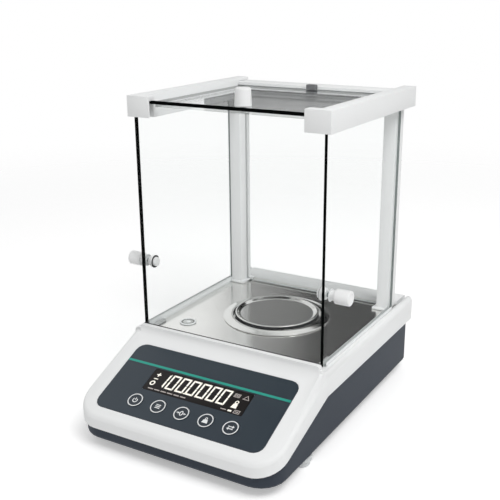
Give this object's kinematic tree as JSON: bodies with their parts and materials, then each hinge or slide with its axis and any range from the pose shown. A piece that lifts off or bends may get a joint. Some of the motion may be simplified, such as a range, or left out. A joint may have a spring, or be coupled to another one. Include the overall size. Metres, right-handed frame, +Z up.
{
  "type": "analytical balance",
  "caption": "Analytical balance: sloped display and keypad on a two-shell base, steel floor with a round weighing pan, glass draft shield with sliding side and top doors.",
  "frame": {"origin": "middle of the footprint, on the surface that the feet stand on", "axes": "+Z up, +Y to the rear, +X to the right as seen from the front"},
  "size_m": [0.2254, 0.2986, 0.3002],
  "materials": {
    "white_shell": "satin white moulded plastic",
    "slate_shell": "satin slate-grey moulded plastic",
    "panel_film": "printed keypad film",
    "display_dark": "smoked display window",
    "key_film": "satin key cap",
    "clear_glass": "clear float glass",
    "brushed_steel": "brushed stainless steel",
    "bright_steel": "bright stainless steel",
    "knob_white": "white moulded plastic",
    "dark_rubber": "moulded rubber",
    "board_green": "circuit board with solder mask",
    "cast_aluminium": "machined aluminium",
    "brass": "turned brass",
    "black_plastic": "black moulded plastic",
    "foot_white": "pale moulded plastic"
  },
  "bodies": {
    "base": {"upper_housing": "white_shell", "lower_casing": "slate_shell", "control_panel": "panel_film", "display_window": "display_dark", "display_module": "display_dark", "keypad_board": "board_green", "main_board": "board_green", "force_cell": "cast_aluminium", "cell_bracket": "cast_aluminium", "display_ribbon": "black_plastic", "dc_inlet": "black_plastic", "serial_port": "bright_steel", "floor_plate": "brushed_steel", "pan_stem": "bright_steel", "level_bezel": "knob_white", "level_vial": "clear_glass", "front_pane": "clear_glass", "rear_pane": "clear_glass", "rear_crossbar": "white_shell", "top_crossbar": "white_shell", "door_stop": "dark_rubber", "left_post": "white_shell", "right_post": "white_shell", "left_rail": "white_shell", "right_rail": "white_shell", "left_pane_clip": "bright_steel", "right_pane_clip": "bright_steel", "left_foot_nut": "brass", "right_foot_nut": "brass", "left_rear_foot": "dark_rubber", "right_rear_foot": "dark_rubber", "left_post_screw": "bright_steel", "right_post_screw": "bright_steel", "front_left_casing_screw": "bright_steel", "front_right_casing_screw": "bright_steel", "rear_left_casing_screw": "bright_steel", "rear_right_casing_screw": "bright_steel"},
    "left_door": {"left_door_glass": "clear_glass", "left_door_knob": "knob_white", "left_door_cap": "knob_white"},
    "right_door": {"right_door_glass": "clear_glass", "right_door_knob": "knob_white", "right_door_cap": "knob_white"},
    "top_door": {"top_door_glass": "clear_glass", "top_door_knob": "knob_white", "top_door_cap": "knob_white"},
    "power_button": {"power_key": "key_film"},
    "menu_button": {"menu_key": "key_film"},
    "tare_button": {"tare_key": "key_film"},
    "cal_button": {"cal_key": "key_film"},
    "unit_button": {"unit_key": "key_film"},
    "pan": {"weighing_pan": "bright_steel"},
    "ring": {"wind_ring": "bright_steel"},
    "left_foot": {"left_foot_pad": "dark_rubber"},
    "right_foot": {"right_foot_pad": "dark_rubber"},
    "left_thumbwheel": {"left_foot_wheel": "foot_white", "left_foot_stud": "bright_steel"},
    "right_thumbwheel": {"right_foot_wheel": "foot_white", "right_foot_stud": "bright_steel"}
  },
  "joints": [
    {"name": "left_door_slide", "type": "slide", "parent": "base", "child": "left_door", "axis": [0, 1, 0], "range_m": [0, 0.134]},
    {"name": "right_door_slide", "type": "slide", "parent": "base", "child": "right_door", "axis": [0, 1, 0], "range_m": [0, 0.134]},
    {"name": "top_door_slide", "type": "slide", "parent": "base", "child": "top_door", "axis": [0, 1, 0], "range_m": [0, 0.1174]},
    {"name": "power_key_press", "type": "slide", "parent": "base", "child": "power_button", "axis": [0, 0.3972, -0.9178], "range_m": [0, 0.0005], "stiffness_N_per_m": 2000},
    {"name": "menu_key_press", "type": "slide", "parent": "base", "child": "menu_button", "axis": [0, 0.3972, -0.9178], "range_m": [0, 0.0005], "stiffness_N_per_m": 2000},
    {"name": "tare_key_press", "type": "slide", "parent": "base", "child": "tare_button", "axis": [0, 0.3972, -0.9178], "range_m": [0, 0.0005], "stiffness_N_per_m": 2000},
    {"name": "cal_key_press", "type": "slide", "parent": "base", "child": "cal_button", "axis": [0, 0.3972, -0.9178], "range_m": [0, 0.0005], "stiffness_N_per_m": 2000},
    {"name": "unit_key_press", "type": "slide", "parent": "base", "child": "unit_button", "axis": [0, 0.3972, -0.9178], "range_m": [0, 0.0005], "stiffness_N_per_m": 2000},
    {"name": "pan_lift", "type": "slide", "parent": "base", "child": "pan", "axis": [0, 0, 1], "range_m": [0, 0.05]},
    {"name": "ring_lift", "type": "slide", "parent": "base", "child": "ring", "axis": [0, 0, 1], "range_m": [0, 0.05]},
    {"name": "left_foot_height", "type": "slide", "parent": "base", "child": "left_foot", "axis": [0, 0, -1], "range_m": [0, 0.003]},
    {"name": "right_foot_height", "type": "slide", "parent": "base", "child": "right_foot", "axis": [0, 0, -1], "range_m": [0, 0.003]},
    {"name": "left_foot_turn", "type": "hinge", "parent": "left_foot", "child": "left_thumbwheel", "pos_m": [-0.0895, -0.08175, 0.0065], "axis": [0, 0, -1], "range_deg": [0, 1080.5]},
    {"name": "right_foot_turn", "type": "hinge", "parent": "right_foot", "child": "right_thumbwheel", "pos_m": [0.0895, -0.08175, 0.0065], "axis": [0, 0, -1], "range_deg": [0, 1080.5]}
  ],
  "couplings": [
    {"joint": "left_foot_turn", "follows": "left_foot_height", "rad_per_m": 6283.2},
    {"joint": "right_foot_turn", "follows": "right_foot_height", "rad_per_m": 6283.2}
  ]
}
